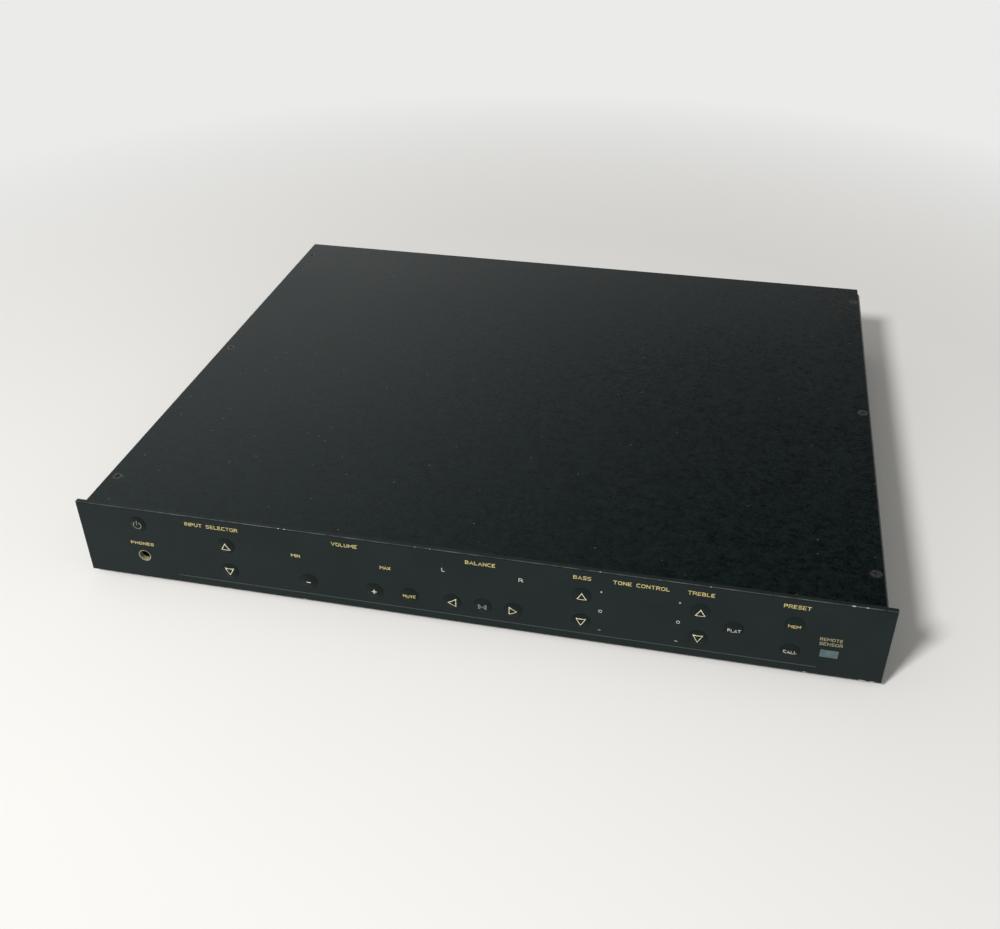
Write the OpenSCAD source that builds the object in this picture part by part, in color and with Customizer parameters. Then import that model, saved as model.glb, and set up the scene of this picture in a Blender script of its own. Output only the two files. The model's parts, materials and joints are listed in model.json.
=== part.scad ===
// Slim audio control amplifier: flat front panel with keys, sheet case, rear sockets and inner boards.
// X runs to the right, Y from the front to the rear and Z up. The floor under the feet is Z = 0.

/* [Front panel] */
// Width of the front panel
panel_w = 430; // [428:1:440]
// Height of the front panel
panel_h = 47; // [46.5:0.5:52]
// Thickness of the metal front panel
panel_t = 2.5; // [2.5:0.25:3.5]
// Clear height between the floor and the front panel
panel_gap = 3.5; // [3:0.5:4]
// Thickness of the printed film on the panel
film_t = 0.25; // [0.15:0.05:0.4]
// Bare metal margin around the printed film
film_margin = 0.6; // [0.3:0.1:1.5]

/* [Case] */
// Width of the case across its side walls
case_w = 424; // [424:1:426]
// Depth of the cover behind the front panel
cover_d = 360; // [356:1:380]
// Thickness of the cover sheet
cover_t = 1.5; // [1.2:0.1:1.6]
// How far the cover's top lies below the panel's top edge
cover_drop = 2.6; // [2.2:0.1:3]
// How far the cover stops short of the right side wall
cover_short = 1.8; // [0.2:0.1:2]
// How far the cover reaches past the side walls at the rear
rear_overhang = 4.5; // [1:0.5:6]
// Thickness of the chassis sheet
sheet = 1; // [0.8:0.1:1.2]
// Outer radius of the chassis bends
bend_r = 2; // [1.6:0.1:2.2]
// Height of the feet
foot_h = 6; // [5.5:0.5:6]

/* [Keys] */
// Diameter of a key
key_d = 9.4; // [8:0.1:9.6]
// Crown of a key's face
key_dome = 1; // [0.6:0.1:1.4]
// Gap around a key in its hole
key_gap = 0.15; // [0.1:0.05:0.2]

/* [Control layout, from the panel's middle and bottom edge] */
// Height of the lower key row
row_low = 13; // [12.5:0.1:13.5]
// Distance from the lower to the upper key row
row_pitch = 17.4; // [16.5:0.1:17.6]
// Height of the volume, mute and balance keys
volume_z = 13.7; // [13:0.1:14.2]
// Power key and headphone socket, across
left_x = -179.7; // [-180.5:0.1:-178.5]
// Power key, height
power_z = 37.2; // [36.5:0.1:37.2]
// Headphone socket, height
phones_z = 15.6; // [15:0.1:16]
// Input keys, across
input_x = -129.4; // [-131:0.1:-128]
// Volume down key, across
volume_down_x = -83.8; // [-85:0.1:-82]
// Volume up key, across
volume_up_x = -46.9; // [-48:0.1:-46]
// Mute key, across
mute_x = -27.6; // [-29:0.1:-26]
// Balance centre key, across
balance_x = 12.1; // [11:0.1:13]
// Step from the balance centre key to its neighbours
balance_step = 16.4; // [14:0.1:17]
// Bass keys, across
bass_x = 64; // [63:0.1:65]
// Treble keys, across
treble_x = 123.5; // [122.5:0.1:124.5]
// Tone flat key, across
flat_x = 140.8; // [140:0.1:142]
// Preset keys, across
preset_x = 169; // [168:0.1:170]
// Sensor window, across
sensor_x = 187.6; // [187:0.1:188.5]
// Sensor window, height
sensor_z = 14.6; // [14:0.1:15]

/* [Rear sockets] */
// Number of phono socket columns
phono_columns = 6; // [3:1:6]
// Distance between the columns
phono_pitch = 24; // [16:1:24]
// Length of a phono sleeve outside the rear panel
phono_reach = 9; // [8:0.5:12]

/* [Hidden] */
$fn = 64;
eps = 0.01;

// Levels, from the floor
panel_top = panel_gap + panel_h;
cover_top = panel_top - cover_drop;
tray_top = cover_top - cover_t;
tray_floor = foot_h + sheet;
case_half = case_w / 2;
wall_in = case_half - sheet;

// Depths, from the panel's metal face
tray_front = panel_t;
tray_rear = panel_t + cover_d - rear_overhang;
tray_d = tray_rear - tray_front;
panel_skin = 0.6;
cover_gap = 0.2;
key_proud = 0.1;
key_edge = film_t + key_proud;
front_reach = key_edge + key_dome;
mid_y = (tray_rear + phono_reach - front_reach) / 2;

// Inner flanges of the tray
flange_w = 14;
flange_x = case_half - flange_w;
end_flange_x = (flange_x + wall_in) / 2;
end_screw_low = foot_h + 8;
end_screw_high = foot_h + 33;
front_lip_h = 2.6;

// Fasteners
m3_r = 1.4;
m3_tap_r = 1.5;
m3_clear_r = 1.7;
pan_r = 2.8;
pan_h = 1.9;
pan_taper = 0.5;
pan_recess = [3, 1];
csk_r = 3;
csk_h = 1.4;
csk_gap = 0.15;
csk_recess = [3.2, 0.8];

// Screw lengths
cover_screw_l = 7;
pillar_screw_l = 8;
post_screw_l = 6;
rear_screw_l = 8;
foot_screw_l = 7;
bracket_screw_l = 5;
panel_screw_l = 2.6;

// Cover screws
cover_screw_x = case_half - 5.5;
cover_screw_ys = [30, 185.5, 341];
cover_nut_r = 2.6;
cover_nut_h = 3;

// Keys, by name, place across and height
key_r = key_d / 2;
hole_r = key_r + key_gap;
collar_r = key_r + 0.9;
collar_t = 1;
collar_gap = 0.1;
stem_r = 1.7;
stem_gap = 0.2;
row_high = row_low + row_pitch;
row_mid = row_low + row_pitch / 2;
KEYS = [
    ["key_power", left_x, power_z],
    ["key_input_up", input_x, row_high],
    ["key_input_down", input_x, row_low],
    ["key_volume_down", volume_down_x, volume_z],
    ["key_volume_up", volume_up_x, volume_z],
    ["key_mute", mute_x, volume_z],
    ["key_balance_left", balance_x - balance_step, volume_z],
    ["key_balance_centre", balance_x, volume_z],
    ["key_balance_right", balance_x + balance_step, volume_z],
    ["key_bass_up", bass_x, row_high],
    ["key_bass_down", bass_x, row_low],
    ["key_treble_up", treble_x, row_high],
    ["key_treble_down", treble_x, row_low],
    ["key_tone_flat", flat_x, row_mid],
    ["key_preset_store", preset_x, row_high],
    ["key_preset_recall", preset_x, row_low]
];

// Display board behind the panel
board_t = 1.6;
display_y = panel_t + 10;
display_half = flange_x - 2;
display_low = tray_floor + 2;
display_high = tray_top - 2.4;
switch_side = 6;
switch_h = 3.5;
switch_bore = 2;
stem_end = display_y - switch_h + 1;
pillar_r = 2.6;
pillar_xs = [-155, -105, -62, 46, 93.5, 153];
pillar_zs = [panel_gap + 40, panel_gap + 9];

// Indicators behind the film, as centre and size of each window
led_w = 2;
led_l = 5;
led_rim = 1;
led_front = panel_t + 0.8;
level_x = (volume_down_x + volume_up_x) / 2;
level_z = 30.4;
level_count = 10;
level_pitch = 4;
centre_z = 35;
centre_count = 9;
centre_pitch = 3.8;
tone_count = 9;
tone_pitch = 3.2;
bass_led_x = bass_x + 15.5;
treble_led_x = treble_x - 15.5;
tone_led_z = 22;
digit_x = input_x - 14;
digit_z = 21.2;
digit_w = 12.6;
digit_h = 19;
sensor_w = 9;
sensor_h = 5;
sensor_gap = 0.1;
sensor_lip = [1.2, 1];
receiver = [10, 4.5, 8];
receiver_lens_r = 2.4;
receiver_lens_l = 1.5;

// Headphone socket
phones_bore_r = 3.2;
phones_bush_r = 3.75;
phones_hole_r = 3.95;
phones_proud = 0.3;
phones_body_y = panel_t + 2.5;
phones_body_d = 28;
phones_bore_end = phones_body_y + 26;
phones_body_side = 17;
phones_notch_gap = 1.5;

// Rear panel and what it carries
rear_t = 1.5;
rear_in = tray_rear - rear_t;
rear_gap = 0.4;
phono_x = 10;
phono_rows = [foot_h + 11.5, foot_h + 29.5];
phono_r = 4.15;
phono_neck_r = 3.85;
phono_in_r = 3.5;
phono_hole_r = 4.7;
phono_ring_r = 5.6;
phono_ring_t = 1.5;
phono_contact_r = 1.6;
phono_core_r = 2;
phono_inner = rear_in - 4.5;
phono_end = tray_rear + phono_reach;
phono_core_end = phono_end - 1.2;
phono_contact_end = phono_end - 1.5;
phono_gap = 0.05;
inlet_x = -150;
inlet_z = foot_h + 20;
inlet_flange = [50, 23];
inlet_body = [27.4, 19.8];
inlet_cavity = [24.4, 16.6];
inlet_corner = 4.5;
inlet_gap = 0.2;
inlet_flange_t = 3;
inlet_back = tray_rear - 18;
inlet_floor = tray_rear - 14;
inlet_screw_step = 20;
pin_tip = tray_rear - 2.5;
pin_tail = inlet_back - 1.5;
pin_size = [2, 4];
pin_gap = 0.05;
PIN_PLACES = [[-7, -2], [7, -2], [0, 2]];
fuse_x = -98;
fuse_z = inlet_z;
fuse_hole_r = 6.4;
fuse_body_r = 6.2;
fuse_bore_r = 4.4;
fuse_flange_r = 8.6;
fuse_flange_t = 2.4;
fuse_back = tray_rear - 34;
fuse_cap_r = 6.6;
fuse_cap_t = 5.4;
fuse_cap_gap = 0.1;
fuse_plug_l = 9;
fuse_plug_gap = 0.3;
fuse_slot = [1.4, 2];
fuse_grip_r = 0.9;
fuse_grip_out = 0.4;
fuse_grip_turn = 30;
fuse_floor = fuse_back + 2;
fuse_start = fuse_floor + 0.5;
fuse_tube_r = 2.6;
fuse_tube_l = 20;

// Main board and what stands on it
post_h = 6;
board_z = tray_floor + post_h;
board_top = board_z + board_t;
board_x0 = -60;
board_x1 = 190;
board_y0 = 90;
board_y1 = rear_in - 6;
post_r = 3;
post_floor = 1;
post_inset = 8;
post_xs = [board_x0 + post_inset, 62, board_x1 - post_inset];
post_ys = [board_y0 + post_inset, 212];
big_cap_r = 9;
big_cap_h = 27;
big_cap_start = [-34, 250];
big_cap_step = 24;
big_cap_count = 4;
small_cap_r = 4;
small_cap_h = 12;
small_cap_start = [78, 262];
small_cap_step = [20, 18];
small_cap_count = 6;
chip = [20, 6.6, 3.7];
chip_lift = 0.5;
chip_pins = [18.8, 7.8];
chip_start = [20, 140];
chip_step = [34, 44];
chip_count = 5;
relay = [10, 20, 11.5];
relay_y = 314;
sink_x = -10;
sink_y = 204;
sink_w = 68;
sink_h = 27;
sink_d = 15;
sink_wall = 3;
fin_t = 2;
fin_count = 8;
regulator_w = 10;
regulator_t = 4.5;
regulator_low = 4;
regulator_high = 20;
regulator_legs = [8, 0.8];
regulator_step = 20;
phono_housing_w = 13;
phono_housing_d = 12;

// Mains transformer
trafo_x = -142;
trafo_y = 232;
trafo_z = foot_h + 20.5;
leg = 10;
window_w = 9;
window_l = 30;
stack_h = 16;
wind_gap = 0.3;
core_w = 4 * leg + 2 * window_w;
core_l = window_l + 2 * leg;
bracket_foot = 11;
bracket_xs = [trafo_x - core_w / 2, trafo_x + core_w / 2];
bracket_ys = [trafo_y - 16, trafo_y + 16];

// Feet
foot_r = 9;
foot_taper = 1;
foot_recess_r = 4;
foot_recess_h = 3;
foot_x = case_half - 28;
foot_ys = [34, tray_rear - 30];

// Ribbon cable and wires
ribbon_x = 40;
ribbon_w = 26;
ribbon_t = 0.9;
ribbon_z = foot_h + 18;
plug_l = 6;
plug_h = 7;
plug_rim = 2;
ribbon_run = 14;
wire_r = 1.2;
wire_sides = 8;
wire_steps = 4;
wire_in = inlet_back - 1.8;
wire_fuse = fuse_back - 1.6;
wire_coil = [trafo_x, trafo_y, trafo_z + 13];
wire_board = [board_x0 + 10, 160, board_top + 3];
MAINS_ROUTES = [
    [
        [inlet_x - 7, wire_in, inlet_z - 2], [inlet_x - 7, wire_in - 6.2, inlet_z - 2],
        [inlet_x, wire_in - 20, inlet_z - 10], [inlet_x + 26, wire_in - 26, inlet_z - 11],
        [fuse_x - 8, wire_fuse - 6.4, fuse_z - 4], [fuse_x, wire_fuse, fuse_z]
    ],
    [
        [inlet_x + 7, wire_in, inlet_z - 2], [inlet_x + 7, wire_in - 6.2, inlet_z - 2],
        [inlet_x + 4, wire_in - 22, inlet_z + 4], wire_coil + [-7, 58, -1.5],
        wire_coil + [-7, 30, 0.5], wire_coil + [-7, 15.4, 0]
    ],
    [
        [fuse_x + 4, wire_fuse, fuse_z + 2], [fuse_x + 2, wire_fuse - 10.4, fuse_z + 5],
        [fuse_x - 12, wire_fuse - 30, fuse_z + 10], wire_coil + [16, 44, 0.5],
        wire_coil + [8, 28, 0.5], wire_coil + [7, 15.4, 0]
    ]
];
SECONDARY_ROUTES = [
    for (i = [-1:1])
    let (
        start = wire_coil + [8 * i, -15.4, 0],
        end = wire_board + [0, 7 * i, 0]
    )
    [
        start, start + [0, -12.6, 0.5], start + [14, -36.6, -3.5],
        end + [-42, 3, 9.4], end + [-20, 0, 2.4], end
    ]
];

// Moves the model so that its origin is on the floor under the middle of its box
module to_origin() {
    translate([0, -mid_y, 0]) children();
}

// Box between two corners
module block(low, high) {
    translate(low) cube(high - low);
}

// Round bar along Y from y0 to y1
module rod(x, z, r, y0, y1) {
    translate([x, y0, z]) rotate([-90, 0, 0]) cylinder(h = y1 - y0, r = r);
}

// Tube along Y from y0 to y1
module pipe(x, z, r_out, r_in, y0, y1) {
    difference() {
        rod(x, z, r_out, y0, y1);
        rod(x, z, r_in, y0 - eps, y1 + eps);
    }
}

// Round post along Z
module post(x, y, r, z0, z1) {
    translate([x, y, z0]) cylinder(h = z1 - z0, r = r);
}

// Cross recess cut downwards from Z = 0, by span and depth
module cross_recess(size) {
    span = size[0];
    depth = size[1];
    slot = span / 4;
    for (turn = [0, 90]) {
        rotate([0, 0, turn]) block([-span / 2, -slot / 2, -depth], [span / 2, slot / 2, eps]);
    }
}

// Pan head screw, pointing down from Z = 0
module pan_screw(l) {
    difference() {
        union() {
            cylinder(h = pan_h, r1 = pan_r, r2 = pan_r - pan_taper);
            translate([0, 0, -l]) cylinder(h = l, r = m3_r);
        }
        translate([0, 0, pan_h]) cross_recess(pan_recess);
    }
}

// Countersunk screw, with its face at Z = 0
module csk_screw(l) {
    difference() {
        union() {
            translate([0, 0, -csk_h]) cylinder(h = csk_h, r1 = m3_r, r2 = csk_r);
            translate([0, 0, -l]) cylinder(h = l - csk_h, r = m3_r);
        }
        cross_recess(csk_recess);
    }
}

// Quarter bend of the tray along Y, about (x, z), starting at a turn
module bend(x, z, turn) {
    translate([x, tray_front, z]) rotate([-90, 0, 0]) rotate([0, 0, turn])
        rotate_extrude(angle = 90) translate([bend_r - sheet, 0]) square([sheet, tray_d]);
}

module at_cover_screws(z) {
    for (side = [-1, 1], y = cover_screw_ys) {
        translate([side * cover_screw_x, y, z]) children();
    }
}

module at_keys(y) {
    for (k = KEYS) {
        translate([k[1], y, panel_gap + k[2]]) children();
    }
}

module at_end_screws() {
    for (side = [-1, 1], z = [end_screw_low, end_screw_high]) {
        translate([side * end_flange_x, 0, z]) children();
    }
}

module at_phono(row) {
    for (i = [0:phono_columns - 1]) {
        translate([phono_x + i * phono_pitch, 0, phono_rows[row]]) children();
    }
}

module at_pillars(y) {
    for (x = pillar_xs, z = pillar_zs) {
        translate([x, y, z]) children();
    }
}

module at_posts(z) {
    for (x = post_xs, y = post_ys) {
        translate([x, y, z]) children();
    }
}

module at_feet(z) {
    for (side = [-1, 1], y = foot_ys) {
        translate([side * foot_x, y, z]) children();
    }
}

// Screws of the transformer's brackets, outside the core on both sides
module at_bracket_screws(z) {
    for (side = [0, 1], y = bracket_ys) {
        x = bracket_xs[side] + (2 * side - 1) * bracket_foot / 2;
        translate([x, y, z]) children();
    }
}

// Folded steel tray: floor, side walls and inward flanges
module chassis_tray() {
    flat_half = case_half - bend_r;
    lip_top = tray_floor + front_lip_h;
    fold_top = tray_top - bend_r;
    color([0.09, 0.1, 0.1]) difference() {
        union() {
            block([-flat_half, tray_front, foot_h], [flat_half, tray_rear, tray_floor]);
            bend(flat_half, foot_h + bend_r, 0);
            bend(-flat_half, foot_h + bend_r, 90);
            bend(-flat_half, fold_top, 180);
            bend(flat_half, fold_top, 270);
            for (side = [0, 1]) {
                mirror([side, 0, 0]) {
                    block([wall_in, tray_front, foot_h + bend_r], [case_half, tray_rear, fold_top]);
                    block([flange_x, tray_front, tray_top - sheet], [flat_half, tray_rear, tray_top]);
                    block(
                        [flange_x, tray_front, foot_h + bend_r],
                        [wall_in + sheet / 2, tray_front + sheet, fold_top]
                    );
                    block(
                        [flange_x, rear_in - sheet, foot_h + bend_r],
                        [wall_in + sheet / 2, rear_in, fold_top]
                    );
                }
            }
            block([-flange_x, tray_front, tray_floor - eps], [flange_x, tray_front + sheet, lip_top]);
        }
        at_cover_screws(tray_top - 2 * sheet) cylinder(h = 3 * sheet, r = m3_tap_r);
        at_feet(foot_h - eps) cylinder(h = 2 * sheet, r = m3_tap_r);
        at_bracket_screws(foot_h - eps) cylinder(h = 2 * sheet, r = m3_tap_r);
        at_end_screws() rod(0, 0, m3_clear_r, tray_front - eps, tray_front + 2 * sheet);
        at_end_screws() rod(0, 0, m3_tap_r, rear_in - 2 * sheet, rear_in + eps);
    }
}

module cover_nuts() {
    color("silver") at_cover_screws(tray_top - sheet - cover_nut_h) difference() {
        cylinder(h = cover_nut_h, r = cover_nut_r);
        translate([0, 0, -eps]) cylinder(h = cover_nut_h + 2 * eps, r = m3_tap_r);
    }
}

// Cut-outs for keys, headphone socket and sensor, from y0 to y1
module face_holes(y0, y1) {
    at_keys(0) rod(0, 0, hole_r, y0, y1);
    rod(left_x, panel_gap + phones_z, phones_hole_r, y0, y1);
    translate([sensor_x, 0, panel_gap + sensor_z])
        block([-sensor_w / 2, y0, -sensor_h / 2], [sensor_w / 2, y1, sensor_h / 2]);
}

// Window slot through the panel, by centre, width and height
module lamp_window(x, z, w, h) {
    translate([x, 0, panel_gap + z]) block([-w / 2, -eps, -h / 2], [w / 2, panel_t + eps, h / 2]);
}

module front_panel() {
    color([0.13, 0.14, 0.14]) difference() {
        block([-panel_w / 2, 0, panel_gap], [panel_w / 2, panel_t, panel_top]);
        face_holes(-eps, panel_t + eps);
        lamp_window(level_x, level_z, level_count * level_pitch + led_rim, led_l + led_rim);
        lamp_window(balance_x, centre_z, centre_count * centre_pitch + led_rim, led_l + led_rim);
        lamp_window(bass_led_x, tone_led_z, led_l + led_rim, tone_count * tone_pitch + led_rim);
        lamp_window(treble_led_x, tone_led_z, led_l + led_rim, tone_count * tone_pitch + led_rim);
        lamp_window(digit_x, digit_z, digit_w - 2 * led_rim, digit_h - 2 * led_rim);
        at_end_screws() rod(0, 0, m3_tap_r, panel_skin, panel_t + eps);
    }
}

module front_film() {
    half = panel_w / 2 - film_margin;
    color([0.12, 0.13, 0.13]) difference() {
        block([-half, -film_t, panel_gap + film_margin], [half, 0, panel_top - film_margin]);
        face_holes(-film_t - eps, eps);
    }
}

// Key with a crowned face, a collar behind the panel and a stem into its switch
module key(x, z) {
    crown_r = (key_r * key_r + key_dome * key_dome) / (2 * key_dome);
    collar_y = panel_t + collar_gap;
    color([0.1, 0.11, 0.11]) translate([x, 0, panel_gap + z]) {
        intersection() {
            rod(0, 0, key_r, -2 * front_reach, collar_y);
            translate([0, crown_r - front_reach, 0]) sphere(r = crown_r, $fn = 128);
        }
        rod(0, 0, collar_r, collar_y, collar_y + collar_t);
        rod(0, 0, stem_r, collar_y + collar_t, stem_end);
    }
}

module key_switches() {
    side = switch_side / 2;
    color([0.15, 0.15, 0.16]) at_keys(display_y - switch_h) difference() {
        block([-side, 0, -side], [side, switch_h, side]);
        rod(0, 0, stem_r + stem_gap, -eps, switch_bore);
    }
}

// Board with a notch that clears the headphone socket
module display_board() {
    notch = phones_body_side / 2 + phones_notch_gap;
    z = panel_gap + phones_z;
    color([0.1, 0.35, 0.18]) difference() {
        block([-display_half, display_y, display_low], [display_half, display_y + board_t, display_high]);
        block([left_x - notch, display_y - eps, 0], [left_x + notch, display_y + board_t + eps, z + notch]);
        at_pillars(display_y) rod(0, 0, m3_clear_r, -eps, board_t + eps);
    }
}

module board_pillars() {
    color("silver") at_pillars(0) pipe(0, 0, pillar_r, m3_tap_r, panel_t, display_y);
}

module board_screws() {
    color("silver") {
        at_pillars(display_y + board_t) rotate([-90, 0, 0]) pan_screw(pillar_screw_l);
        at_posts(board_top) pan_screw(post_screw_l);
    }
}

module input_digit() {
    color([0.25, 0.06, 0.06]) translate([digit_x, 0, panel_gap + digit_z])
        block([-digit_w / 2, led_front, -digit_h / 2], [digit_w / 2, display_y, digit_h / 2]);
}

// One flat lamp, upright or lying
module lamp(upright) {
    w = upright ? led_w : led_l;
    h = upright ? led_l : led_w;
    block([-w / 2, led_front, -h / 2], [w / 2, display_y, h / 2]);
}

module indicator_lamps() {
    color([0.5, 0.1, 0.08]) translate([0, 0, panel_gap]) {
        for (i = [0:level_count - 1]) {
            translate([level_x + (i - (level_count - 1) / 2) * level_pitch, 0, level_z]) lamp(true);
        }
        for (i = [0:centre_count - 1]) {
            translate([balance_x + (i - (centre_count - 1) / 2) * centre_pitch, 0, centre_z]) lamp(true);
        }
        for (i = [0:tone_count - 1], x = [bass_led_x, treble_led_x]) {
            translate([x, 0, tone_led_z + (i - (tone_count - 1) / 2) * tone_pitch]) lamp(false);
        }
    }
}

module sensor_window() {
    lip = sensor_lip[0];
    w = sensor_w / 2 - sensor_gap;
    h = sensor_h / 2 - sensor_gap;
    color([0.5, 0.58, 0.6]) translate([sensor_x, 0, panel_gap + sensor_z]) {
        block([-w, -film_t, -h], [w, panel_t, h]);
        block([-w - lip, panel_t, -h - lip], [w + lip, panel_t + sensor_lip[1], h + lip]);
    }
}

module infrared_receiver() {
    half_w = receiver[0] / 2;
    half_h = receiver[2] / 2;
    face = display_y - receiver[1];
    color([0.1, 0.1, 0.12]) translate([sensor_x, 0, panel_gap + sensor_z]) {
        block([-half_w, face, -half_h], [half_w, display_y, half_h]);
        rod(0, 0, receiver_lens_r, face - receiver_lens_l, face);
    }
}

module phones_bush() {
    z = panel_gap + phones_z;
    color("gainsboro")
        pipe(left_x, z, phones_bush_r, phones_bore_r, -film_t - phones_proud, phones_body_y);
}

module phones_socket() {
    half = phones_body_side / 2;
    color([0.12, 0.12, 0.12]) translate([left_x, 0, panel_gap + phones_z]) difference() {
        block([-half, phones_body_y, -half], [half, phones_body_y + phones_body_d, half]);
        rod(0, 0, phones_bore_r, phones_body_y - eps, phones_bore_end);
    }
}

module top_cover() {
    color([0.11, 0.12, 0.12]) difference() {
        block(
            [-case_half, panel_t + cover_gap, tray_top],
            [case_half - cover_short, panel_t + cover_d, cover_top]
        );
        at_cover_screws(cover_top) {
            translate([0, 0, -csk_h]) cylinder(h = csk_h + eps, r1 = m3_clear_r, r2 = csk_r + csk_gap);
            translate([0, 0, -cover_t - eps]) cylinder(h = cover_t, r = m3_clear_r);
        }
    }
}

module cover_screws() {
    color([0.2, 0.2, 0.2]) at_cover_screws(cover_top) csk_screw(cover_screw_l);
}

// Plate between the side walls, taller between the top flanges
module rear_panel() {
    half = wall_in - rear_gap;
    low = tray_floor + rear_gap;
    inlet_half = inlet_body / 2 + [inlet_gap, inlet_gap];
    color([0.1, 0.11, 0.11]) difference() {
        union() {
            block([-half, rear_in, low], [half, tray_rear, tray_top - sheet - rear_gap]);
            block(
                [rear_gap - flange_x, rear_in, low],
                [flange_x - rear_gap, tray_rear, tray_top - cover_gap]
            );
        }
        for (row = [0, 1]) {
            at_phono(row) rod(0, 0, phono_hole_r, rear_in - eps, tray_rear + eps);
        }
        translate([inlet_x, 0, inlet_z]) {
            block(
                [-inlet_half[0], rear_in - eps, -inlet_half[1]],
                [inlet_half[0], tray_rear + eps, inlet_half[1]]
            );
            for (side = [-1, 1]) {
                rod(side * inlet_screw_step, 0, m3_tap_r, rear_in - eps, tray_rear + eps);
            }
        }
        rod(fuse_x, fuse_z, fuse_hole_r, rear_in - eps, tray_rear + eps);
        at_end_screws() rod(0, 0, m3_clear_r, rear_in - eps, tray_rear + eps);
    }
}

module rear_panel_screws() {
    color("silver") {
        at_end_screws() translate([0, tray_rear, 0]) rotate([-90, 0, 0]) pan_screw(rear_screw_l);
        for (side = [-1, 1]) {
            translate([inlet_x + side * inlet_screw_step, tray_rear + inlet_flange_t, inlet_z])
                rotate([-90, 0, 0]) pan_screw(rear_screw_l);
        }
    }
}

// Tapered rubber foot with a recess for its screw
module feet() {
    color([0.07, 0.07, 0.07]) at_feet(0) difference() {
        cylinder(h = foot_h, r1 = foot_r - foot_taper, r2 = foot_r);
        translate([0, 0, -eps]) cylinder(h = foot_recess_h + eps, r = foot_recess_r);
        cylinder(h = foot_h + eps, r = m3_clear_r);
    }
}

module foot_screws() {
    color("silver") at_feet(foot_recess_h) rotate([180, 0, 0]) pan_screw(foot_screw_l);
}

module main_board() {
    color([0.1, 0.36, 0.18]) difference() {
        block([board_x0, board_y0, board_z], [board_x1, board_y1, board_top]);
        at_posts(board_z - eps) cylinder(h = 2 * board_t, r = m3_clear_r);
    }
}

module main_board_posts() {
    color("silver") at_posts(tray_floor) difference() {
        cylinder(h = post_h, r = post_r);
        translate([0, 0, post_floor]) cylinder(h = post_h, r = m3_tap_r);
    }
}

// Stack of laminations with a middle leg between two windows
module transformer_core() {
    color([0.35, 0.33, 0.3]) translate([trafo_x, trafo_y, trafo_z]) difference() {
        cube([core_w, core_l, stack_h], center = true);
        for (side = [-1, 1]) {
            translate([side * (leg + window_w / 2), 0, 0])
                cube([window_w, window_l, 2 * stack_h], center = true);
        }
    }
}

module transformer_winding() {
    in_w = 2 * leg + 2 * wind_gap;
    in_h = stack_h + 2 * wind_gap;
    wall = window_w - 2 * wind_gap;
    color([0.75, 0.6, 0.2]) translate([trafo_x, trafo_y, trafo_z]) difference() {
        cube([in_w + 2 * wall, window_l - 2 * wind_gap, in_h + 2 * wall], center = true);
        cube([in_w, window_l, in_h], center = true);
    }
}

// Angle brackets against the core's sides, with feet on the chassis floor
module transformer_brackets() {
    half = core_l / 2;
    top = trafo_z + stack_h / 2;
    color("gray") for (side = [0, 1]) {
        dir = 2 * side - 1;
        x = bracket_xs[side];
        difference() {
            union() {
                block(
                    [min(x, x + dir * sheet), trafo_y - half, tray_floor],
                    [max(x, x + dir * sheet), trafo_y + half, top]
                );
                block(
                    [min(x, x + dir * bracket_foot), trafo_y - half, tray_floor],
                    [max(x, x + dir * bracket_foot), trafo_y + half, tray_floor + sheet]
                );
                block(
                    [min(x, x - dir * leg), trafo_y - half, trafo_z - stack_h / 2 - sheet],
                    [max(x, x - dir * leg), trafo_y + half, trafo_z - stack_h / 2]
                );
            }
            at_bracket_screws(tray_floor - eps) cylinder(h = 2 * sheet, r = m3_clear_r);
        }
    }
}

// Screws that hold the transformer down and the front panel on
module chassis_screws() {
    color("silver") {
        at_bracket_screws(tray_floor + sheet) pan_screw(bracket_screw_l);
        at_end_screws() translate([0, tray_front + sheet, 0]) rotate([-90, 0, 0]) pan_screw(panel_screw_l);
    }
}

module filter_capacitors() {
    color([0.12, 0.16, 0.3]) {
        for (i = [0:big_cap_count - 1]) {
            x = big_cap_start[0] + i * big_cap_step;
            post(x, big_cap_start[1], big_cap_r, board_top, board_top + big_cap_h);
        }
        for (i = [0:small_cap_count - 1], j = [0, 1]) {
            x = small_cap_start[0] + i * small_cap_step[0];
            y = small_cap_start[1] + j * small_cap_step[1];
            post(x, y, small_cap_r, board_top, board_top + small_cap_h);
        }
    }
}

// Box centred on X and Y, standing on Z = 0
module standing(size) {
    translate([-size[0] / 2, -size[1] / 2, 0]) cube(size);
}

module signal_chips() {
    color([0.08, 0.08, 0.09]) for (i = [0:chip_count - 1], j = [0, 1]) {
        translate([chip_start[0] + i * chip_step[0], chip_start[1] + j * chip_step[1], board_top]) {
            standing([chip_pins[0], chip_pins[1], chip_lift]);
            translate([0, 0, chip_lift]) standing(chip);
        }
    }
}

module relays() {
    color([0.85, 0.82, 0.7]) for (i = [0:phono_columns - 1]) {
        translate([phono_x + i * phono_pitch, relay_y, board_top]) standing(relay);
    }
}

// Three flat packages standing against the heat sink
module regulators() {
    w = regulator_w / 2;
    leg_w = regulator_legs[0] / 2;
    mid = regulator_t / 2;
    color([0.1, 0.1, 0.1]) for (i = [-1:1]) {
        translate([sink_x + i * regulator_step, sink_y, board_top]) {
            block([-w, -regulator_t, regulator_low], [w, 0, regulator_high]);
            block([-leg_w, -mid, 0], [leg_w, regulator_legs[1] - mid, regulator_low]);
        }
    }
}

module heat_sink() {
    half = sink_w / 2;
    color("silver") translate([sink_x, sink_y, board_top]) {
        block([-half, 0, 0], [half, sink_wall, sink_h]);
        for (i = [0:fin_count - 1]) {
            x = i * (sink_w - fin_t) / (fin_count - 1) - half;
            block([x, sink_wall - eps, 0], [x + fin_t, sink_d, sink_h]);
        }
    }
}

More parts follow.
